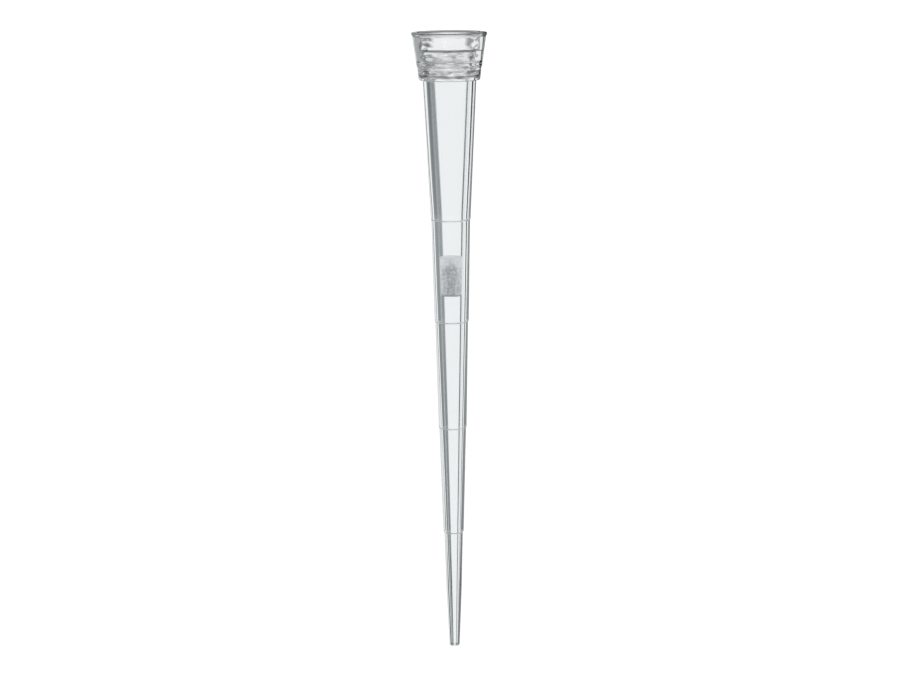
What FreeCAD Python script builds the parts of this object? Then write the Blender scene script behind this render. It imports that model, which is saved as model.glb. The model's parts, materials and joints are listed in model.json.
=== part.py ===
# Filtered pipette tip: a clear moulded tip with a porous plug pressed into its bore.
#
# Both pieces are turned forms. Each is drawn in the frame of the tip itself: X is the radius, Y is the
# depth below the rim, measured along the tip's axis. The placement then lays the tip on a bench, where
# it rests on the lip round its rim and on the edge of its point.

import FreeCAD, Part
import Sketcher
import os

FULL_TURN = 360
MARKS = (1, 2, 3, 4)

# name, millimetres, what it is. The pipette's cone sets the sealing rings, and the collar is built
# outwards from them. The volume held sets the bore, so the body is built up from the point.
SIZES = (
    ("overall_length", 59.0, "rim to point, along the axis"),
    ("seal_diameter", 5.0, "inside of the two sealing rings"),
    ("seal_height", 0.14, "how far the rings stand in from the socket's wall at its floor"),
    ("seal_land", 0.22, "length of a sealing ring's inner face"),
    ("seal_rise", 0.33, "from the socket's floor to the middle of the lower ring"),
    ("seal_spacing", 0.84, "from one sealing ring to the next"),
    ("socket_depth", 4.05, "rim to the socket's floor"),
    ("socket_step_depth", 1.6, "where the socket steps in"),
    ("socket_step", 0.11, "how far the socket steps in, all round"),
    ("socket_upper_draft", 0.02, "how much the socket narrows above its step, all round"),
    ("socket_lower_draft", 0.12, "how much the socket narrows below its step, all round"),
    ("socket_lead_in", 0.1, "chamfer round the socket's mouth"),
    ("rim_wall", 0.55, "collar's wall just under the lip"),
    ("lip_overhang", 0.11, "how far the lip stands out from the collar"),
    ("lip_land", 0.18, "depth of the lip's straight edge"),
    ("lip_height", 0.36, "depth where the lip runs out into the skirt"),
    ("lip_round", 0.12, "round on the lip's upper edge"),
    ("waist_wall", 0.405, "collar's wall above its step, outside the socket at its floor"),
    ("waist_rise", 1.27, "from the collar's underside to its step"),
    ("waist_step", 0.06, "how far the collar steps in, all round"),
    ("foot_wall", 0.23, "collar's wall at its foot, outside the socket at its floor"),
    ("foot_round", 0.1, "round on the collar's foot"),
    ("floor_thickness", 0.37, "socket's floor to the collar's underside"),
    ("rack_ledge", 0.37, "how far the collar's foot stands out from the body"),
    ("neck_round", 0.08, "fillet where the body leaves the collar"),
    ("body_wall", 0.67, "body's wall under the collar"),
    ("bore_mouth_chamfer", 0.12, "chamfer round the bore's mouth"),
    ("bore_bend_diameter", 2.38, "bore where its taper eases"),
    ("bore_bend_height", 42.0, "from the point up to where the bore's taper eases"),
    ("outlet_diameter", 0.38, "bore at the point"),
    ("mark1_height", 41.55, "from the point up to the first fill mark"),
    ("mark1_wall", 0.686, "body's wall above the first mark"),
    ("mark1_step", 0.045, "step in at the first mark"),
    ("mark2_height", 31.85, "from the point up to the second fill mark"),
    ("mark2_wall", 0.667, "body's wall above the second mark"),
    ("mark2_step", 0.07, "step in at the second mark"),
    ("mark3_height", 21.6, "from the point up to the third fill mark"),
    ("mark3_wall", 0.621, "body's wall above the third mark"),
    ("mark3_step", 0.055, "step in at the third mark"),
    ("mark4_height", 11.35, "from the point up to the fourth fill mark"),
    ("mark4_wall", 0.505, "body's wall above the fourth mark"),
    ("mark4_step", 0.085, "step in at the fourth mark"),
    ("mark_slope", 0.12, "length of the sloping face at each mark"),
    ("point_taper_length", 5.8, "steeper last stretch of the body"),
    ("point_taper_wall", 0.402, "body's wall where that stretch begins"),
    ("point_wall", 0.29, "body's wall at the point"),
    ("point_chamfer", 0.05, "chamfer round the point"),
    ("plug_drop", 4.0, "from the easing of the bore to the plug's top"),
    ("plug_length", 3.7, "length of the filter plug"),
    ("plug_clearance", 0.01, "gap between the plug and the bore, all round"),
    ("plug_round", 0.06, "round on the plug's edges"),
)

# Radii and depths that several outlines share, as expressions on the sheet. Depths are below the rim.
SEAL = "size.seal_diameter / 2"
SOCKET_FLOOR = f"{SEAL} + size.seal_height"
SOCKET_BELOW_STEP = f"{SOCKET_FLOOR} + size.socket_lower_draft"
SOCKET_ABOVE_STEP = f"{SOCKET_BELOW_STEP} + size.socket_step"
SOCKET_MOUTH = f"{SOCKET_ABOVE_STEP} + size.socket_upper_draft"
SKIRT_TOP = f"{SOCKET_MOUTH} + size.rim_wall"
LIP = f"{SKIRT_TOP} + size.lip_overhang"
WAIST = f"{SOCKET_FLOOR} + size.waist_wall"
FOOT = f"{SOCKET_FLOOR} + size.foot_wall"
BODY_TOP = f"{FOOT} - size.rack_ledge"
BORE_MOUTH = f"{BODY_TOP} - size.body_wall"
OUTLET = "size.outlet_diameter / 2"
POINT = f"{OUTLET} + size.point_wall"
COLLAR_HEIGHT = "size.socket_depth + size.floor_thickness"
WAIST_DEPTH = f"{COLLAR_HEIGHT} - size.waist_rise"
BORE_BEND_DEPTH = "size.overall_length - size.bore_bend_height"
UPPER_SEAL_DEPTH = "size.socket_depth - size.seal_rise - size.seal_spacing"


def write_sizes(doc):
    """The sheet of driving sizes: one row each, with the value under its own alias."""
    sheet = doc.addObject("Spreadsheet::Sheet", "size")
    for row, (name, value, note) in enumerate(SIZES, start=1):
        sheet.set(f"A{row}", name)
        sheet.set(f"B{row}", str(value))
        sheet.set(f"C{row}", note)
        sheet.setAlias(f"B{row}", name)
    doc.recompute()
    return sheet


def new_body(doc, name):
    body = doc.addObject("PartDesign::Body", name)
    body.Label = name
    return body


def turned_outline(body, name, corners):
    """A closed sketch whose corners are (radius, depth) pairs, each an expression on the sheet."""
    plane = next(p for p in body.Origin.OriginFeatures if p.Role == "XY_Plane")
    sketch = body.newObject("Sketcher::SketchObject", name)
    sketch.AttachmentSupport = (plane, "")
    sketch.MapMode = "FlatFace"
    places = [FreeCAD.Vector(number(sketch, r), number(sketch, d), 0) for r, d in corners]
    for start, end in zip(places, places[1:] + places[:1]):
        sketch.addGeometry(Part.LineSegment(start, end), False)
    for line in range(len(corners)):
        before = line - 1 if line else len(corners) - 1
        sketch.addConstraint(Sketcher.Constraint("Coincident", before, 2, line, 1))
    for line, (radius, depth) in enumerate(corners):
        hold(sketch, line, "DistanceX", radius, -2, f"radius_{line}")
        hold(sketch, line, "DistanceY", depth, -1, f"depth_{line}")
    return sketch


def number(thing, expression):
    """The expression's value now, which gives the sketch a first shape to solve from."""
    value = thing.evalExpression(expression)
    return float(getattr(value, "Value", value))


def hold(sketch, line, kind, expression, axis, name):
    """Ties the start of a line to the sketch's origin, or to its axis where the size is nothing."""
    if expression == "0":
        sketch.addConstraint(Sketcher.Constraint("PointOnObject", line, 1, axis))
        return
    index = sketch.addConstraint(
        Sketcher.Constraint(kind, -1, 1, line, 1, number(sketch, expression))
    )
    sketch.renameConstraint(index, name)
    sketch.setExpression(f"Constraints.{name}", expression)


def turn(body, kind, sketch, name):
    """Turns an outline about the tip's axis, as added (Revolution) or taken away (Groove) material."""
    sketch.Document.recompute()
    feature = body.newObject(f"PartDesign::{kind}", name)
    feature.Profile = sketch
    feature.ReferenceAxis = (sketch, ["V_Axis"])
    feature.Angle = FULL_TURN
    sketch.Visibility = False
    sketch.Document.recompute()
    return feature


def circles(feature, radius, depth):
    """The names of the feature's circular edges of that radius at that depth."""
    radius, depth = number(feature, radius), number(feature, depth)
    return [
        f"Edge{index}"
        for index, edge in enumerate(feature.Shape.Edges, start=1)
        if isinstance(edge.Curve, Part.Circle)
        and abs(edge.Curve.Radius - radius) < 1e-4
        and abs(edge.Curve.Center.y - depth) < 1e-4
    ]


def round_edge(body, name, size, radius, depth):
    """A fillet round the circular edge at that radius and depth."""
    base = body.Tip
    fillet = body.newObject("PartDesign::Fillet", name)
    fillet.Base = (base, circles(base, radius, depth))
    fillet.setExpression("Radius", size)
    base.Visibility = False
    body.Document.recompute()
    return fillet


def bore_radius(height):
    """The long taper of the bore, at a height above the point."""
    widening = f"(size.bore_bend_diameter / 2 - {OUTLET})"
    return f"({OUTLET} + {widening} * ({height}) / size.bore_bend_height)"


def outside_outline(body):
    """Lip, collar skirt with its step, and the body with its four stepped fill marks."""
    corners = [
        ("0", "0"),
        (LIP, "0"),
        (LIP, "size.lip_land"),
        (SKIRT_TOP, "size.lip_height"),
        (WAIST, WAIST_DEPTH),
        (f"{WAIST} - size.waist_step", f"{WAIST_DEPTH} + size.waist_step"),
        (FOOT, COLLAR_HEIGHT),
        (BODY_TOP, COLLAR_HEIGHT),
    ]
    for mark in MARKS:
        height = f"size.mark{mark}_height"
        above = f"{bore_radius(height)} + size.mark{mark}_wall"
        depth = f"size.overall_length - {height}"
        corners.append((above, depth))
        corners.append((f"{above} - size.mark{mark}_step", f"{depth} + size.mark_slope"))
    taper_start = f"{bore_radius('size.point_taper_length')} + size.point_taper_wall"
    corners += [
        (taper_start, "size.overall_length - size.point_taper_length"),
        (POINT, "size.overall_length - size.point_chamfer"),
        (f"{POINT} - size.point_chamfer", "size.overall_length"),
        ("0", "size.overall_length"),
    ]
    return turned_outline(body, "outside_outline", corners)


def socket_outline(body):
    """The socket that a pipette's cone pushes into: lead-in, guide, step and floor."""
    corners = [
        ("0", "0"),
        (f"{SOCKET_MOUTH} + size.socket_lead_in", "0"),
        (SOCKET_MOUTH, "size.socket_lead_in"),
        (SOCKET_ABOVE_STEP, "size.socket_step_depth"),
        (SOCKET_BELOW_STEP, "size.socket_step_depth"),
        (SOCKET_FLOOR, "size.socket_depth"),
        ("0", "size.socket_depth"),
    ]
    return turned_outline(body, "socket_outline", corners)


def bore_outline(body):
    """The bore from the socket's floor to the outlet, in two tapers."""
    corners = [
        ("0", "size.socket_depth"),
        (f"{BORE_MOUTH} + size.bore_mouth_chamfer", "size.socket_depth"),
        (BORE_MOUTH, "size.socket_depth + size.bore_mouth_chamfer"),
        ("size.bore_bend_diameter / 2", BORE_BEND_DEPTH),
        (OUTLET, "size.overall_length"),
        ("0", "size.overall_length"),
    ]
    return turned_outline(body, "bore_outline", corners)


def seal_outline(body):
    """One sealing ring: a flat inner land with a sloping flank on each side, rooted in the wall."""
    upper, lower = (f"{UPPER_SEAL_DEPTH} {sign} size.seal_land / 2" for sign in "-+")
    height = f"({SOCKET_BELOW_STEP} - ({SEAL}))"
    corners = [
        (SEAL, upper),
        (SEAL, lower),
        (SOCKET_BELOW_STEP, f"{lower} + {height}"),
        (SOCKET_BELOW_STEP, f"{upper} - {height}"),
    ]
    return turned_outline(body, "seal_outline", corners)


def make_tip_body(doc):
    """The moulded tip: one clear piece with a collar, a stepped taper and a bore right through."""
    body = new_body(doc, "tip_body")
    turn(body, "Revolution", outside_outline(body), "outside")
    turn(body, "Groove", socket_outline(body), "socket")
    turn(body, "Groove", bore_outline(body), "bore")
    seal_sketch = seal_outline(body)
    seal = turn(body, "Revolution", seal_sketch, "seal_ring")

    rings = body.newObject("PartDesign::LinearPattern", "seal_rings")
    rings.Originals = [seal]
    rings.Direction = (seal_sketch, ["V_Axis"])
    rings.Occurrences = 2
    rings.setExpression("Length", "size.seal_spacing")
    body.Tip = rings
    doc.recompute()

    round_edge(body, "lip_edge", "size.lip_round", LIP, "0")
    round_edge(body, "foot_edge", "size.foot_round", FOOT, COLLAR_HEIGHT)
    round_edge(body, "neck", "size.neck_round", BODY_TOP, COLLAR_HEIGHT)
    lay_down(body)
    return body


def make_filter_plug(doc, tip_body):
    """The porous plug: a short tapered cylinder that fills the bore below the easing of its taper."""
    body = new_body(doc, "filter_plug")
    top_height = "size.bore_bend_height - size.plug_drop"
    top_radius = f"{bore_radius(top_height)} - size.plug_clearance"
    foot_radius = f"{bore_radius(f'{top_height} - size.plug_length')} - size.plug_clearance"
    top = f"{BORE_BEND_DEPTH} + size.plug_drop"
    foot = f"{top} + size.plug_length"
    corners = [("0", top), (top_radius, top), (foot_radius, foot), ("0", foot)]
    turn(body, "Revolution", turned_outline(body, "plug_outline", corners), "plug")
    round_edge(body, "top_edge", "size.plug_round", top_radius, top)
    round_edge(body, "foot_edge", "size.plug_round", foot_radius, foot)
    body.setExpression("Placement", f"{tip_body.Name}.Placement")
    return body


def lay_down(body):
    """Rests the tip on its lip and its point, with the rim towards +Y and its middle over the origin."""
    run = "(size.overall_length - size.point_chamfer - size.lip_land)"
    slope = f"atan(({LIP} - ({POINT})) / {run})"
    rim_end = f"(({LIP} - size.lip_round) * sin({slope}) + size.lip_round * (1 - cos({slope})))"
    point_end = f"(size.overall_length * cos({slope}) + ({POINT} - size.point_chamfer) * sin({slope}))"
    body.Placement = FreeCAD.Placement(FreeCAD.Vector(), FreeCAD.Rotation(FreeCAD.Vector(1, 0, 0), 180))
    body.setExpression("Placement.Rotation.Angle", f"180 deg + {slope}")
    body.setExpression("Placement.Base.y", f"({point_end} - {rim_end}) / 2")
    body.setExpression("Placement.Base.z", f"size.lip_land * sin({slope}) + ({LIP}) * cos({slope})")


def check(doc, pieces):
    """Stops the build if any object failed or any piece isn't one valid solid."""
    for thing in doc.Objects:
        if "Invalid" in thing.State or "Error" in thing.State:
            raise RuntimeError(f"{thing.Label} failed: {thing.State}")
    for piece in pieces:
        shape = piece.Shape
        if shape.isNull() or not shape.isValid() or len(shape.Solids) != 1:
            raise RuntimeError(f"{piece.Label} is not one valid solid")


def main():
    doc = FreeCAD.newDocument("pipette_tip")
    write_sizes(doc)
    tip_body = make_tip_body(doc)
    filter_plug = make_filter_plug(doc, tip_body)
    doc.recompute()
    pieces = (tip_body, filter_plug)
    check(doc, pieces)
    os.makedirs("parts", exist_ok=True)
    for piece in pieces:
        piece.Shape.exportStep(f"parts/{piece.Label}.step")
        box = piece.Shape.optimalBoundingBox(False, False)
        print(
            f"{piece.Label}: {piece.Shape.Volume:.3f} mm3,"
            f" x {box.XMin:.3f} to {box.XMax:.3f}, y {box.YMin:.3f} to {box.YMax:.3f},"
            f" z {box.ZMin:.3f} to {box.ZMax:.3f}"
        )


main()
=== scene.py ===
"""Looks for a filtered pipette tip: a clear moulded tip with a porous plug in its bore.

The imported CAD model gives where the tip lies. Both of its nodes are turned forms, and each gets a
smooth turned piece here, with the same outline, rounded edges and a finish of its own.
"""

import json
import math

import bmesh
import bpy
from bpy.props import FloatProperty, FloatVectorProperty, IntProperty, PointerProperty
from mathutils import Matrix, Quaternion, Vector


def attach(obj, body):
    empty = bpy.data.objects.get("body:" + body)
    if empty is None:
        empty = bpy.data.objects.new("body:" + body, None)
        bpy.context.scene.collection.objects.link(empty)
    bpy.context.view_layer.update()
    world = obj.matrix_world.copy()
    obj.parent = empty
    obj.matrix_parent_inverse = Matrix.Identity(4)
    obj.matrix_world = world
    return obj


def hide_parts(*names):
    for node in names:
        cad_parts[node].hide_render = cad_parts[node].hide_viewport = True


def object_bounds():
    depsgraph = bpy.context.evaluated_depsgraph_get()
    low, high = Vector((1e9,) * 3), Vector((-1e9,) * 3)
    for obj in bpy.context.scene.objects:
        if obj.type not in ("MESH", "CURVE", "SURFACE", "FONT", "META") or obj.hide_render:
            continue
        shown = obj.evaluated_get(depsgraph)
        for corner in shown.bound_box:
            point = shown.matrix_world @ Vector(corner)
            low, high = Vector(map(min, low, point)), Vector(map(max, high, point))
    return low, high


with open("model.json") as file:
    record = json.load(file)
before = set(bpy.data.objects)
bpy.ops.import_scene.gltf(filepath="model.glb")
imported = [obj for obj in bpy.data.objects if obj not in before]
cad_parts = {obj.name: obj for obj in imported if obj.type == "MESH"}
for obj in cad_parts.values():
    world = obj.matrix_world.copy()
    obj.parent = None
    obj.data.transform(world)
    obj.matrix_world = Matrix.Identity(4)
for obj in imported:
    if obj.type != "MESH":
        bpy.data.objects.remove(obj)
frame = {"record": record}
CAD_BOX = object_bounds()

bl_info = {
    "name": "Filtered Pipette Tip",
    "version": (1, 0, 0),
    "blender": (4, 5, 0),
    "location": "3D Viewport > Sidebar > Pipette Tip",
    "description": "Makes a clear filtered pipette tip, its porous plug and a pale studio round it",
    "category": "Add Mesh",
}


# Where the tip lies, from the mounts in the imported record.

def mount(name):
    return next(m for m in frame["record"]["mounts"] if m["name"] == name)


def rim_centre():
    """The middle of the rim: the rim's plane crossed by the axis through the socket."""
    on_axis = Vector(mount("pipette_socket")["pos_m"])
    on_rim = Vector(mount("rim_face")["pos_m"])
    return on_axis + AXIS * (on_rim - on_axis).dot(AXIS)


AXIS = Vector(mount("pipette_socket")["axis"]).normalized()
RIM = rim_centre()
SIDE = Vector((1, 0, 0))
ABOVE = SIDE.cross(AXIS)


def tip_matrix():
    """From the tip's own frame to the bench: its rim at the origin, Z out of the socket."""
    laid = Matrix((SIDE, AXIS.cross(SIDE), AXIS)).transposed().to_4x4()
    return Matrix.Translation(RIM) @ laid


# Sizes and colours.

def mm(value):
    return value / 1000


def length(name, millimetres, description):
    return FloatProperty(
        name=name, description=description, default=mm(millimetres), min=0,
        unit="LENGTH", precision=5,
    )


def colour(name, value, description):
    return FloatVectorProperty(
        name=name, description=description, default=value, min=0, max=1, size=3,
        subtype="COLOR",
    )


class CollarSizes(bpy.types.PropertyGroup):
    """Sizes of the collar, which takes the pipette's cone."""

    seal_diameter: length("Seal diameter", 5.0, "Inside of the two sealing rings")
    seal_height: length("Seal height", 0.14, "How far the rings stand in from the floor's edge")
    seal_land: length("Seal land", 0.22, "Length of a ring's inner face")
    seal_rise: length("Seal rise", 0.33, "Socket's floor to the middle of the lower ring")
    seal_spacing: length("Seal spacing", 0.84, "One ring to the next")
    depth: length("Socket depth", 4.05, "Rim to the socket's floor")
    step_depth: length("Step depth", 1.6, "Where the socket steps in")
    step: length("Socket step", 0.11, "How far the socket steps in")
    upper_draft: length("Upper draft", 0.02, "How much the socket narrows above its step")
    lower_draft: length("Lower draft", 0.12, "How much the socket narrows below its step")
    lead_in: length("Lead-in", 0.1, "Chamfer round the socket's mouth")
    rim_wall: length("Rim wall", 0.55, "Wall just under the lip")
    lip_overhang: length("Lip overhang", 0.11, "How far the lip stands out")
    lip_land: length("Lip land", 0.18, "Depth of the lip's straight edge")
    lip_height: length("Lip height", 0.36, "Depth where the lip runs out into the skirt")
    lip_round: length("Lip round", 0.12, "Round on the lip's upper edge")
    waist_wall: length("Waist wall", 0.405, "Collar's wall above its step")
    waist_rise: length("Waist rise", 1.27, "Collar's underside to its step")
    waist_step: length("Waist step", 0.06, "How far the collar steps in")
    foot_wall: length("Foot wall", 0.23, "Collar's wall at its foot")
    foot_round: length("Foot round", 0.1, "Round on the collar's foot")
    floor: length("Floor", 0.37, "Socket's floor to the collar's underside")
    ledge: length("Rack ledge", 0.37, "How far the foot stands out from the body")
    neck_round: length("Neck round", 0.08, "Fillet where the body leaves the collar")


class BodySizes(bpy.types.PropertyGroup):
    """Sizes of the tapered body below the collar."""

    overall_length: length("Overall length", 59.0, "Rim to point")
    top_wall: length("Top wall", 0.67, "Wall under the collar")
    mouth_chamfer: length("Mouth chamfer", 0.05, "Chamfer round the bore's mouth")
    bend_diameter: length("Bend diameter", 2.38, "Bore where its taper eases")
    bend_height: length("Bend height", 42.0, "Point up to where the bore's taper eases")
    outlet_diameter: length("Outlet diameter", 0.38, "Bore at the point")
    mark_slope: length("Mark slope", 0.12, "Length of the sloping face at each fill mark")
    taper_length: length("Point taper", 5.8, "Steeper last stretch of the body")
    taper_wall: length("Point taper wall", 0.402, "Wall where that stretch begins")
    point_wall: length("Point wall", 0.29, "Wall at the point")
    point_chamfer: length("Point chamfer", 0.05, "Chamfer round the point")
    edge_round: length("Edge round", 0.03, "Round on the moulding's other edges")
    segments: IntProperty(
        name="Segments", description="Faces round each turned piece", default=256, min=32, max=512
    )


class PlugSizes(bpy.types.PropertyGroup):
    """Sizes of the porous filter plug."""

    drop: length("Drop", 4.0, "Easing of the bore down to the plug's top")
    length: length("Length", 3.7, "Length of the plug")
    clearance: length("Clearance", 0.01, "Gap between the plug and the bore")
    edge_round: length("Edge round", 0.06, "Round on the plug's edges")


class Finishes(bpy.types.PropertyGroup):
    """Colours of the two plastics."""

    clear_tint: colour("Clear plastic", (0.957, 0.972, 0.976), "Tint of the clear moulding")
    plug_light: colour("Plug, light grains", (0.97, 0.98, 0.99), "Light grains of the porous plug")
    plug_dark: colour("Plug, dark grains", (0.5, 0.515, 0.54), "Pores of the porous plug")


class StageSettings(bpy.types.PropertyGroup):
    """Camera and light."""

    eye_distance: length("Eye distance", 235.0, "Camera to the tip's axis, square to it")
    eye_beyond_rim: length("Eye beyond rim", 12.0, "How far past the rim the camera stands")
    aim_depth: length("Aim depth", 28.8, "Where on the axis the camera looks, below the rim")
    aim_side: FloatProperty(
        name="Aim to the side", description="How far to the side the camera looks",
        default=mm(-0.17), unit="LENGTH", precision=5,
    )
    focal_length: FloatProperty(
        name="Focal length", description="Lens, on a sensor 36 mm wide",
        default=100.6, min=20, unit="CAMERA",
    )
    roll: FloatProperty(
        name="Roll", description="How far the camera leans",
        default=math.radians(-0.54), subtype="ANGLE",
    )


# The four fill marks: height above the point, the wall above the mark, and the step in at it.
FILL_MARKS = (
    (41.55, 0.686, 0.045),
    (31.85, 0.667, 0.07),
    (21.6, 0.621, 0.055),
    (11.35, 0.505, 0.085),
)


# Shader maths as plain expressions.

class Wire:
    """A node's output, which adds Math nodes when it meets +, -, * or /."""

    def __init__(self, nodes, socket):
        self.nodes = nodes
        self.socket = socket

    def math(self, operation, *values):
        made = self.nodes.add("ShaderNodeMath", {"operation": operation}, dict(enumerate(values)))
        return made["Value"]

    def __add__(self, other):
        return self.math("ADD", self, other)

    def __radd__(self, other):
        return self.math("ADD", other, self)

    def __sub__(self, other):
        return self.math("SUBTRACT", self, other)

    def __rsub__(self, other):
        return self.math("SUBTRACT", other, self)

    def __mul__(self, other):
        return self.math("MULTIPLY", self, other)

    def __rmul__(self, other):
        return self.math("MULTIPLY", other, self)

    def __truediv__(self, other):
        return self.math("DIVIDE", self, other)

    def __gt__(self, other):
        return self.math("GREATER_THAN", self, other)

    def __abs__(self):
        return self.math("ABSOLUTE", self)


class Made:
    """A node that was added, whose outputs are looked up by name."""

    def __init__(self, nodes, node):
        self.nodes = nodes
        self.node = node

    def __getitem__(self, output):
        return Wire(self.nodes, self.node.outputs[output])


class NodeSet:
    """Adds nodes to one node tree."""

    def __init__(self, tree):
        self.tree = tree
        tree.nodes.clear()

    def add(self, kind, settings=None, sockets=None):
        """A node of that type, with its settings and ramp stops set before its sockets."""
        node = self.tree.nodes.new(kind)
        for name, value in (settings or {}).items():
            if name == "stops":
                self.set_stops(node.color_ramp, value)
            else:
                setattr(node, name, value)
        for name, value in (sockets or {}).items():
            if isinstance(value, Wire):
                self.tree.links.new(value.socket, node.inputs[name])
            else:
                node.inputs[name].default_value = value
        return Made(self, node)

    def set_stops(self, ramp, stops):
        """Stops are (place, grey) pairs, in order."""
        while len(ramp.elements) < len(stops):
            ramp.elements.new(1)
        for element, (place, grey) in zip(ramp.elements, stops):
            element.position = place
            element.color = (grey, grey, grey, 1)


# Meshes.

ROUND_SEGMENTS = 4
NO_LENGTH = 1e-9
DOUBLES = 1e-8
DIGITS = 8


def turned(name, corners, segments):
    """A closed solid turned about the tip's axis from (radius, depth, round) corners.

    A corner whose round is nothing stays a crease. The solid is then laid on the bench.
    """
    bm = bmesh.new()
    places = [bm.verts.new((radius, 0, -depth)) for radius, depth, _ in corners]
    bm.faces.new(places)
    rounds = [(place, size) for place, (_, _, size) in zip(places, corners) if size]
    creases = [place.co.copy() for place, (_, _, size) in zip(places, corners) if not size]
    for place, size in rounds:
        bmesh.ops.bevel(
            bm, geom=[place], offset=size, offset_type="OFFSET", segments=ROUND_SEGMENTS,
            profile=0.5, affect="VERTICES", material=-1, clamp_overlap=True,
        )
    bmesh.ops.delete(bm, geom=bm.faces[:], context="FACES_ONLY")
    on_axis = [
        edge for edge in bm.edges if all(abs(vert.co.x) < NO_LENGTH for vert in edge.verts)
    ]
    bmesh.ops.delete(bm, geom=on_axis, context="EDGES")
    bmesh.ops.spin(
        bm, geom=bm.verts[:] + bm.edges[:], axis=(0, 0, 1), cent=(0, 0, 0),
        angle=math.tau, steps=segments, use_merge=True,
    )
    bmesh.ops.remove_doubles(bm, verts=bm.verts[:], dist=DOUBLES)
    bmesh.ops.recalc_face_normals(bm, faces=bm.faces[:])
    for face in bm.faces:
        face.smooth = True
    sharpen(bm, creases)
    bmesh.ops.transform(bm, matrix=tip_matrix(), verts=bm.verts[:])
    mesh = bpy.data.meshes.new(name)
    bm.to_mesh(mesh)
    bm.free()
    piece = bpy.data.objects.new(name, mesh)
    bpy.context.scene.collection.objects.link(piece)
    weigh = piece.modifiers.new("even shading", "WEIGHTED_NORMAL")
    weigh.keep_sharp = True
    return piece


def sharpen(bm, creases):
    """Creases the ring through each of those corners."""

    def ring(place):
        return (round(math.hypot(place.x, place.y), DIGITS), round(place.z, DIGITS))

    rings = {ring(corner) for corner in creases}
    on_crease = {vert for vert in bm.verts if ring(vert.co) in rings}
    for edge in bm.edges:
        a, b = edge.verts
        if a in on_crease and b in on_crease and abs(a.co.z - b.co.z) < NO_LENGTH:
            edge.smooth = False


def bore_radius(body, height):
    """The long taper of the bore, at a height above the point."""
    outlet = body.outlet_diameter / 2
    return outlet + (body.bend_diameter / 2 - outlet) * height / body.bend_height


def tip_corners(collar, body):
    """The tip's outline: down the outside, round the point, and up the bore and the socket."""
    soft = body.edge_round
    point_round = soft / 2
    mouth_round = body.mouth_chamfer / 3
    step_round = collar.step * 0.45
    seal = collar.seal_diameter / 2
    floor = seal + collar.seal_height
    below_step = floor + collar.lower_draft
    above_step = below_step + collar.step
    mouth = above_step + collar.upper_draft
    skirt = mouth + collar.rim_wall
    lip = skirt + collar.lip_overhang
    waist = floor + collar.waist_wall
    foot = floor + collar.foot_wall
    neck = foot - collar.ledge
    bore = neck - body.top_wall
    outlet = body.outlet_diameter / 2
    point = outlet + body.point_wall
    height = collar.depth + collar.floor
    waist_depth = height - collar.waist_rise
    end = body.overall_length

    corners = [
        (mouth + collar.lead_in, 0, soft),
        (lip, 0, collar.lip_round),
        (lip, collar.lip_land, soft),
        (skirt, collar.lip_height, soft),
        (waist, waist_depth, soft),
        (waist - collar.waist_step, waist_depth + collar.waist_step, soft),
        (foot, height, collar.foot_round),
        (neck, height, collar.neck_round),
    ]
    for rise, wall, step in FILL_MARKS:
        above = bore_radius(body, mm(rise)) + mm(wall)
        corners.append((above, end - mm(rise), soft))
        corners.append((above - mm(step), end - mm(rise) + body.mark_slope, soft))
    corners += [
        (bore_radius(body, body.taper_length) + body.taper_wall, end - body.taper_length, 0),
        (point, end - body.point_chamfer, point_round),
        (point - body.point_chamfer, end, point_round),
        (outlet, end, 0),
        (body.bend_diameter / 2, end - body.bend_height, 0),
        (bore, collar.depth + body.mouth_chamfer, mouth_round),
        (bore + body.mouth_chamfer, collar.depth, mouth_round),
        (floor, collar.depth, soft),
    ]
    lower_seal = collar.depth - collar.seal_rise
    for middle in (lower_seal, lower_seal - collar.seal_spacing):
        for side in (1, -1):
            root = collar.seal_land / 2 + wall_at(collar, middle, side) - seal
            foot_of_ring = (wall_at(collar, middle, side), middle + side * root, soft)
            land = (seal, middle + side * collar.seal_land / 2, soft)
            corners += [foot_of_ring, land] if side == 1 else [land, foot_of_ring]
    corners += [
        (below_step, collar.step_depth, step_round),
        (above_step, collar.step_depth, step_round),
        (mouth, collar.lead_in, soft),
    ]
    return corners


def wall_at(collar, middle, side):
    """The socket's radius where the sloping flank of a sealing ring meets it."""
    seal = collar.seal_diameter / 2
    floor = seal + collar.seal_height
    draft = collar.lower_draft / (collar.depth - collar.step_depth)
    start = collar.seal_land / 2
    # the flank goes out by as much as it goes along, and the wall by draft for each step up
    rise = collar.depth - middle - side * start
    return seal + (floor + draft * rise - seal) / (1 + side * draft)


def plug_corners(body, plug):
    """The plug's outline, from its top to its foot."""
    high = body.bend_height - plug.drop
    top = body.overall_length - high
    top_radius = bore_radius(body, high) - plug.clearance
    foot_radius = bore_radius(body, high - plug.length) - plug.clearance
    return [
        (0, top, 0),
        (top_radius, top, plug.edge_round),
        (foot_radius, top + plug.length, plug.edge_round),
        (0, top + plug.length, 0),
    ]


# Materials.

def material(name):
    made = bpy.data.materials.new(name)
    made.use_nodes = True
    return made, NodeSet(made.node_tree)


def tip_place(nodes):
    """Where a point lies in the tip: depth below the rim, off the axis, to the side, above."""
    place = nodes.add("ShaderNodeTexCoord")["Object"]

    def along(direction):
        return nodes.add(
            "ShaderNodeVectorMath", {"operation": "DOT_PRODUCT"}, {0: place, 1: tuple(direction)}
        )["Value"] - RIM.dot(direction)

    side, rise = along(SIDE), along(ABOVE)
    square = side * side + rise * rise
    return 0 - along(AXIS), square.math("SQRT", square), side, rise


def ease(nodes, value, start, end):
    """0 at the start, easing to 1 at the end."""
    return nodes.add(
        "ShaderNodeMapRange",
        {"interpolation_type": "SMOOTHSTEP"},
        {"Value": value, "From Min": start, "From Max": end},
    )["Result"]


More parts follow.
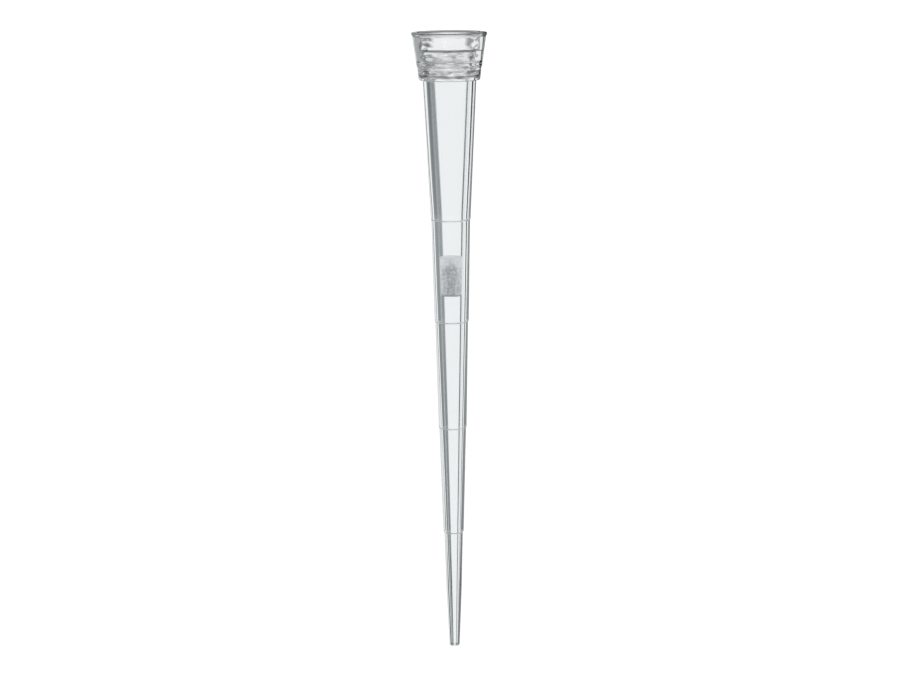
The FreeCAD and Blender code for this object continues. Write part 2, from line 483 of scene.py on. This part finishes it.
def band(nodes, value, middle, half):
    """1 within half a width of the middle, easing to 0 beyond it."""
    return ease(nodes, abs(value - middle), half * 1.3, half * 0.7)


def stretched_noise(nodes, place, scale, detail=2.0):
    """Noise with a scale of its own along each axis."""
    drawn = nodes.add("ShaderNodeMapping", sockets={"Vector": place, "Scale": scale})["Vector"]
    return nodes.add(
        "ShaderNodeTexNoise", sockets={"Vector": drawn, "Scale": 1.0, "Detail": detail}
    )["Fac"]


def between(nodes, amount, start, end):
    """From the first colour to the second by that amount."""
    mixed = nodes.add(
        "ShaderNodeMix", {"data_type": "RGBA"}, {0: amount, 6: (*start, 1), 7: (*end, 1)}
    )
    return Wire(nodes, mixed.node.outputs[2])


# The clear plastic's finish and its painted shade. Bands are a middle below the rim and half a
# width.
LOWER_WALL = (mm(2.85), mm(1.2))
UPPER_WALL = (mm(0.85), mm(0.6))
BELOW_STEP = (mm(2.2), mm(0.5))
# half the width of the painted shade line along each edge
MARK_LINE = mm(0.075)
STEP_LINE = mm(0.11)
NEAR_RIM_LINE = mm(0.13)
FAR_RIM_LINE = mm(0.2)
SEAL_LINE = mm(0.13)
FLOOR_LINE = mm(0.1)
POINT_LINE = mm(0.2)
FLOOR_LINE_RISE = mm(0.06)
OUTER_SKIN = mm(0.085)
MARK_SKIN = mm(0.3)
RIPPLE_SPACING = mm(0.42)
RIPPLE_HEIGHT = mm(0.03)
STREAK_SCALE = (1600, 60, 1600)
LUMP_SCALE = (1100, 2200, 1100)
LUMP_DETAIL = 0.5
CLEAR_IOR = 1.49
# the near black that painted shade darkens the clear tint towards
PAINTED_SHADE_COLOUR = (0.02, 0.02, 0.02)
# light that has bounced more often than this goes straight on, at this strength
BOUNCES_KEPT = 2.5
GUIDED_LIGHT = (0.6, 0.6, 0.6, 1)


def clear_plastic(looks, collar, body):
    """Clear moulded plastic: polished, with turned rings in the socket and frosted fill marks, and
    painted shade in dark lines, marks and blotches.
    """
    made, nodes = material("clear moulded plastic")
    place = nodes.add("ShaderNodeTexCoord")["Object"]
    depth, radius, side, rise = tip_place(nodes)
    upward = rise > 0.0
    # the socket's wall and the collar's foot, which are uneven alike
    outside = collar.seal_diameter / 2 + collar.seal_height + collar.waist_wall - OUTER_SKIN
    inside = 1 - (radius > outside)
    lower = band(nodes, depth, *LOWER_WALL) * inside
    upper = band(nodes, depth, *UPPER_WALL) * inside

    # unevenness, as a bump
    streaks = stretched_noise(nodes, place, STREAK_SCALE)
    lumps = stretched_noise(nodes, place, LUMP_SCALE, LUMP_DETAIL)
    turning = depth * (math.tau / RIPPLE_SPACING) + lumps * 4
    turning = turning.math("SINE", turning)
    facing = ease(nodes, abs(side) / radius, 0.95, 0.7)
    socket_wall = (lower * 1.8 + upper * 0.25) * (turning * 0.3 + lumps * 2.6) * facing
    ripple = nodes.add(
        "ShaderNodeBump",
        sockets={
            "Height": streaks * 0.03 + socket_wall, "Strength": 1.0, "Distance": RIPPLE_HEIGHT
        },
    )["Normal"]

    # the fill marks, on the upper side of the outer wall only
    marks = 0
    for height, _, _ in FILL_MARKS:
        middle = body.overall_length - mm(height) + body.mark_slope / 2
        marks = band(nodes, depth, middle, MARK_LINE) + marks
    bore = body.outlet_diameter / 2 + (body.overall_length - depth) * (
        (body.bend_diameter - body.outlet_diameter) / 2 / body.bend_height
    )
    marks = marks * (radius - MARK_SKIN > bore) * upward

    # painted shade: dark lines along the socket's step, the rim, a seal ring and the socket's
    # floor, a darker band below the step, and dark blotches on the socket's wall
    sides = ease(nodes, abs(side) / radius, 0.45, 0.7)
    step = band(nodes, depth, collar.step_depth, STEP_LINE) * inside * upward
    rim = band(nodes, depth, 0.0, NEAR_RIM_LINE) * upward
    rim = rim + band(nodes, depth, 0.0, FAR_RIM_LINE) * (1 - upward)
    upper_seal = collar.depth - collar.seal_rise - collar.seal_spacing
    rings = band(nodes, depth, upper_seal, SEAL_LINE) * 0.2
    rings = rings + band(nodes, depth, collar.depth - FLOOR_LINE_RISE, FLOOR_LINE) * 0.45
    rings = rings * inside * upward
    below_step = band(nodes, depth, *BELOW_STEP) * inside
    # painted shade: dark blotches on the socket's wall, stronger towards the left and right sides
    painted_blotches = upper * sides * 0.9 + lower * (sides * 0.3 + 0.4)
    painted_blotches = painted_blotches * ease(nodes, lumps, 0.46, 0.6)
    # painted shade: dark dots at the point's left and right sides
    point = band(nodes, depth, body.overall_length, POINT_LINE) * sides
    # painted shade: dark fill marks, darkest across the middle
    painted_shade = marks * (0.36 - sides * 0.34) + point * 0.7
    painted_shade = painted_shade + step * 0.94 + rim * 0.93 + rings + below_step * 0.15 + painted_blotches

    plastic = nodes.add(
        "ShaderNodeBsdfPrincipled",
        sockets={
            "Base Color": between(nodes, painted_shade, looks.clear_tint, PAINTED_SHADE_COLOUR),
            "Roughness": marks * 0.45 + lower * 0.04,
            "IOR": CLEAR_IOR,
            "Transmission Weight": 1.0,
            "Normal": ripple,
        },
    )["BSDF"]
    bounces = nodes.add("ShaderNodeLightPath")["Glossy Depth"]
    onward = nodes.add("ShaderNodeBsdfTransparent", sockets={"Color": GUIDED_LIGHT})["BSDF"]
    surface = nodes.add(
        "ShaderNodeMixShader", sockets={0: bounces > BOUNCES_KEPT, 1: plastic, 2: onward}
    )["Shader"]
    nodes.add("ShaderNodeOutputMaterial", sockets={"Surface": surface})
    return made


# The porous plastic's finish, with its painted highlight and painted shade.
GRAIN_SCALE = 7000.0
CLOUD_SCALE = 4200.0
CLOUD_DETAIL = 3.0
DRAWN_SCALE = (6000, 900, 6000)
# spans of the painted highlight at the plug's head and top face, and of the painted shade line at
# its foot
HEAD_DEPTH = mm(1.4)
FOOT_LINE = mm(0.16)
FACE_START = mm(0.05)
FACE_END = mm(0.02)
PIT_DEPTH = mm(0.05)
POROUS_IOR = 1.4
POROUS_ROUGHNESS = 0.9


def porous_plastic(looks, body, plug):
    """Sintered porous plastic: matte white grains with fine dark pores; painted highlight makes it
    paler at its head, its top face and its left and right sides, and painted shade darkens its
    foot.
    """
    made, nodes = material("porous sintered plastic")
    place = nodes.add("ShaderNodeTexCoord")["Object"]
    depth, radius, side, _ = tip_place(nodes)
    top = body.overall_length - body.bend_height + plug.drop
    grains = nodes.add(
        "ShaderNodeTexVoronoi", sockets={"Vector": place, "Scale": GRAIN_SCALE}
    )["Distance"]
    cloud = nodes.add(
        "ShaderNodeTexNoise",
        sockets={"Vector": place, "Scale": CLOUD_SCALE, "Detail": CLOUD_DETAIL},
    )["Fac"]
    streaks = stretched_noise(nodes, place, DRAWN_SCALE)
    off_middle = abs(side) / radius
    # painted highlight: paler towards the head, more so towards the left and right sides
    head = ease(nodes, depth, top + HEAD_DEPTH, top) * (0.75 + off_middle * 0.6)
    # painted highlight: paler towards the left and right sides
    edge = ease(nodes, off_middle, 0.15, 0.95)
    foot_height = body.bend_height - plug.drop - plug.length
    foot_radius = bore_radius(body, foot_height) - plug.clearance
    # painted shade: a dark line round the foot
    foot = band(nodes, depth, top + plug.length, FOOT_LINE)
    foot = foot * (radius > foot_radius - plug.edge_round)
    # painted highlight: a paler top face
    face = ease(nodes, depth, top + FACE_START, top + FACE_END)
    dark = grains * 0.5 + (cloud - 0.5) * 1.6 + (streaks - 0.5) * 1.0 + 0.5
    dark = dark - head * 0.9 - edge * 0.6 + foot * 2 - face * 2
    pits = nodes.add(
        "ShaderNodeBump", sockets={"Height": 1 - grains, "Strength": 0.6, "Distance": PIT_DEPTH}
    )["Normal"]
    plastic = nodes.add(
        "ShaderNodeBsdfPrincipled",
        sockets={
            "Base Color": between(nodes, dark, looks.plug_light, looks.plug_dark),
            "Roughness": POROUS_ROUGHNESS,
            "IOR": POROUS_IOR,
            "Normal": pits,
        },
    )["BSDF"]
    nodes.add("ShaderNodeOutputMaterial", sockets={"Surface": plastic})
    return made


# Stage.

# Grey levels of the cards round the tip, by how far from straight down they are, in degrees.
# To the left and the right there are three sets: for light that goes straight through the walls,
# for light that bounces inside a wall, and for light that glances off the outside.
SIDEWAYS_THROUGH = (
    (-180, 0.42),
    (-110, 0.42),
    (-90, 0.45),
    (-72, 0.4),
    (-62, 0.34),
    (-55, 0.42),
    (-48, 0.37),
    (-17, 0.36),
    (-13, 1.0),
    (23, 1.0),
    (28, 0.08),
    (38, 0.08),
    (42, 0.95),
    (50, 0.88),
    (60, 0.86),
    (75, 0.8),
    (90, 0.6),
    (110, 0.42),
    (180, 0.42),
)
SIDEWAYS_INSIDE = (
    (-180, 0.42),
    (-110, 0.42),
    (-90, 0.5),
    (-80, 0.7),
    (-72, 0.6),
    (-66, 0.41),
    (-40, 0.4),
    (-16, 0.36),
    (-12, 1.0),
    (10, 1.0),
    (15, 0.10),
    (26, 0.10),
    (32, 1.0),
    (42, 1.0),
    (50, 0.88),
    (70, 0.88),
    (90, 0.5),
    (110, 0.42),
    (180, 0.42),
)
SIDEWAYS_MIRRORED = (
    (-180, 0.42),
    (-90, 0.42),
    (-60, 0.7),
    (-8, 0.9),
    (-2, 0.7),
    (3, 0.15),
    (8, 0.06),
    (60, 0.06),
    (90, 0.42),
    (180, 0.42),
)
# Towards the point and towards the rim, under the tip only.
LENGTHWAYS = (
    (-180, 1.0),
    (-36, 1.0),
    (-31, 0.15),
    (-22, 0.15),
    (-18, 1.0),
    (13, 1.0),
    (18, 0.15),
    (28, 0.15),
    (32, 1.0),
    (180, 1.0),
)


# How the cards change towards the point, by how far a ray leans that way, from 0 to 1.
SPREAD_FROM = 0.08
SPREAD = 160 / 360
STEEP_FROM = 0.17
LEAN_POWER = 4.5
STEEP_POWER = 20
LENGTHWAYS_LEAST = 0.45
CORNER_GREY = 0.85
# Powers of grey that make dark places cool.
RED_POWER = 1.06
BLUE_POWER = 0.985


def make_world():
    """Cards all round the tip, as grey levels by direction. The camera itself sees white."""
    world = bpy.data.worlds.new("pale studio")
    world.use_nodes = True
    nodes = NodeSet(world.node_tree)
    heading = nodes.add("ShaderNodeTexCoord")["Generated"]
    split = nodes.add("ShaderNodeSeparateXYZ", sockets={"Vector": heading})
    across, along, up = split["X"], split["Y"], split["Z"]
    path = nodes.add("ShaderNodeLightPath")
    crossed = path["Transmission Depth"] > 0.5
    bounced = path["Glossy Depth"] > 0.5

    def level(cards, direction, shift=None):
        turn = direction.math("ARCTAN2", direction, 0 - up) / math.tau + 0.5
        if shift:
            turn = turn.math("MINIMUM", turn + shift, turn.math("MAXIMUM", turn, 0.5))
        stops = [(degrees / 360 + 0.5, grey) for degrees, grey in cards]
        return nodes.add("ShaderNodeValToRGB", {"stops": stops}, {"Fac": turn})["Color"] * 1

    def blend(amount, low, high):
        return low + (high - low) * amount

    # towards the point the cards get darker, and the left one stands further out
    below = ease(nodes, 0 - up, 0.35, 0.7)
    lean = 0 - along.math("MINIMUM", along, 0) * below
    spread = lean - SPREAD_FROM
    spread = spread.math("MAXIMUM", spread, 0) * SPREAD
    inside = level(SIDEWAYS_INSIDE, across, spread)
    inside = blend(crossed, level(SIDEWAYS_MIRRORED, across), inside)
    cards = blend(bounced, level(SIDEWAYS_THROUGH, across), inside)
    steep = lean - STEEP_FROM
    steep = steep.math("MAXIMUM", steep, 0)
    cards = cards.math("POWER", cards, 1 + LEAN_POWER * lean + STEEP_POWER * steep)
    middle = ease(nodes, abs(across), 0.45, 0.3) * below
    lengthways = level(LENGTHWAYS, along)
    lengthways = lengthways.math("MAXIMUM", lengthways, LENGTHWAYS_LEAST * (1 - bounced))
    cards = cards * blend(middle, 1, lengthways)
    corner = blend(ease(nodes, up, -0.1, 0.2), 1, CORNER_GREY)
    ends = ease(nodes, abs(along), 0.35, 0.6) * (1 - middle)
    surround = blend(ends, cards, corner)
    # matt surfaces are lit evenly, a little more from the sides and from beyond the rim
    scattered = path["Diffuse Depth"] > 0.5
    matt = 0.42 + 1.0 * abs(across) + 0.6 * along.math("MAXIMUM", along, 0)
    surround = blend(scattered, surround, matt)
    grey = blend(path["Is Camera Ray"], surround, 1)
    shade = nodes.add(
        "ShaderNodeCombineColor",
        sockets={
            "Red": grey.math("POWER", grey, RED_POWER),
            "Green": grey,
            "Blue": grey.math("POWER", grey, BLUE_POWER),
        },
    )["Color"]
    light = nodes.add(
        "ShaderNodeBackground", sockets={"Color": shade, "Strength": 1.0}
    )["Background"]
    nodes.add("ShaderNodeOutputWorld", sockets={"Surface": light})
    bpy.context.scene.world = world


FLOOR_HALF_WIDTH = 1.5
FLOOR_GREY = (0.9, 0.9, 0.9, 1)
FLOOR_GLOW = 1.17
FLOOR_SHADOW_SHARE = 0.25


def floor_material():
    """Pale floor, which renders white and keeps a soft share of the tip's shadow."""
    made, nodes = material("pale floor")
    card = nodes.add("ShaderNodeBsdfDiffuse", sockets={"Color": FLOOR_GREY})["BSDF"]
    glow = nodes.add("ShaderNodeEmission", sockets={"Strength": FLOOR_GLOW})["Emission"]
    mixed = nodes.add(
        "ShaderNodeMixShader", sockets={0: FLOOR_SHADOW_SHARE, 1: glow, 2: card}
    )["Shader"]
    nodes.add("ShaderNodeOutputMaterial", sockets={"Surface": mixed})
    return made


def make_floor():
    bm = bmesh.new()
    bmesh.ops.create_grid(bm, x_segments=1, y_segments=1, size=FLOOR_HALF_WIDTH)
    mesh = bpy.data.meshes.new("floor")
    bm.to_mesh(mesh)
    bm.free()
    floor = bpy.data.objects.new("floor", mesh)
    floor.data.materials.append(floor_material())
    floor.visible_transmission = False
    floor.visible_glossy = False
    floor.location.z = CAD_BOX[0].z
    bpy.context.scene.collection.objects.link(floor)


SOFTBOX_WIDTH = 0.3
SOFTBOX_WATTS = 0.6
SOFTBOX_PLACE = (0.05, 0.35, 0.4)


def make_softbox():
    light = bpy.data.lights.new("softbox", "AREA")
    light.shape = "SQUARE"
    light.size = SOFTBOX_WIDTH
    light.energy = SOFTBOX_WATTS
    box = bpy.data.objects.new("softbox", light)
    box.location = SOFTBOX_PLACE
    box.rotation_mode = "QUATERNION"
    box.rotation_quaternion = Vector(box.location).to_track_quat("Z", "Y")
    bpy.context.scene.collection.objects.link(box)


def make_camera(stage):
    """A camera above the tip and beyond its rim, which looks down on its middle."""
    eye = RIM + AXIS * stage.eye_beyond_rim + ABOVE * stage.eye_distance
    aim = RIM - AXIS * stage.aim_depth + Vector((stage.aim_side, 0, 0))
    eye.x += stage.aim_side
    back = (eye - aim).normalized()
    facing = Matrix((SIDE, back.cross(SIDE), back)).transposed().to_quaternion()
    camera = bpy.data.cameras.new("camera")
    camera.sensor_width = 36
    camera.lens = stage.focal_length
    camera.clip_start = 0.01
    camera.clip_end = 10
    holder = bpy.data.objects.new("camera", camera)
    holder.location = eye
    holder.rotation_mode = "QUATERNION"
    holder.rotation_quaternion = facing @ Quaternion((0, 0, 1), stage.roll)
    bpy.context.scene.collection.objects.link(holder)
    bpy.context.scene.camera = holder


# Operators and panel.

class PIPETTETIP_OT_stage(bpy.types.Operator):
    """Set up the floor, the surroundings, the softbox and the camera"""

    bl_idname = "pipettetip.stage"
    bl_label = "Stage"

    def execute(self, context):
        make_world()
        make_floor()
        make_softbox()
        make_camera(context.scene.tip_stage)
        context.scene.view_settings.view_transform = "Standard"
        return {"FINISHED"}


class PIPETTETIP_OT_tip(bpy.types.Operator):
    """Make the clear moulded tip"""

    bl_idname = "pipettetip.tip"
    bl_label = "Moulded Tip"

    def execute(self, context):
        scene = context.scene
        corners = tip_corners(scene.tip_collar, scene.tip_body)
        piece = turned("moulded_tip", corners, scene.tip_body.segments)
        look = clear_plastic(scene.tip_finishes, scene.tip_collar, scene.tip_body)
        piece.data.materials.append(look)
        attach(piece, "root")
        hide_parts("tip_body")
        return {"FINISHED"}


class PIPETTETIP_OT_plug(bpy.types.Operator):
    """Make the porous filter plug"""

    bl_idname = "pipettetip.plug"
    bl_label = "Filter Plug"

    def execute(self, context):
        scene = context.scene
        corners = plug_corners(scene.tip_body, scene.tip_plug)
        piece = turned("porous_plug", corners, scene.tip_body.segments)
        look = porous_plastic(scene.tip_finishes, scene.tip_body, scene.tip_plug)
        piece.data.materials.append(look)
        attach(piece, "root")
        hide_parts("filter_plug")
        return {"FINISHED"}


class PIPETTETIP_PT_panel(bpy.types.Panel):
    bl_idname = "PIPETTETIP_PT_panel"
    bl_label = "Pipette Tip"
    bl_space_type = "VIEW_3D"
    bl_region_type = "UI"
    bl_category = "Pipette Tip"

    def draw(self, context):
        for operator in OPERATORS:
            self.layout.operator(operator.bl_idname)
        for name in GROUPS:
            group = getattr(context.scene, name)
            box = self.layout.box()
            box.label(text=type(group).__name__)
            for prop in group.__annotations__:
                box.prop(group, prop)


GROUPS = {
    "tip_collar": CollarSizes,
    "tip_body": BodySizes,
    "tip_plug": PlugSizes,
    "tip_finishes": Finishes,
    "tip_stage": StageSettings,
}
OPERATORS = (PIPETTETIP_OT_stage, PIPETTETIP_OT_tip, PIPETTETIP_OT_plug)
CLASSES = (*GROUPS.values(), *OPERATORS, PIPETTETIP_PT_panel)


def register():
    for cls in CLASSES:
        bpy.utils.register_class(cls)
    for name, group in GROUPS.items():
        setattr(bpy.types.Scene, name, PointerProperty(type=group))


def unregister():
    for name in GROUPS:
        delattr(bpy.types.Scene, name)
    for cls in reversed(CLASSES):
        bpy.utils.unregister_class(cls)


def main():
    register()
    bpy.ops.pipettetip.stage()
    bpy.ops.pipettetip.tip()
    bpy.ops.pipettetip.plug()


if __name__ == "__main__":
    main()
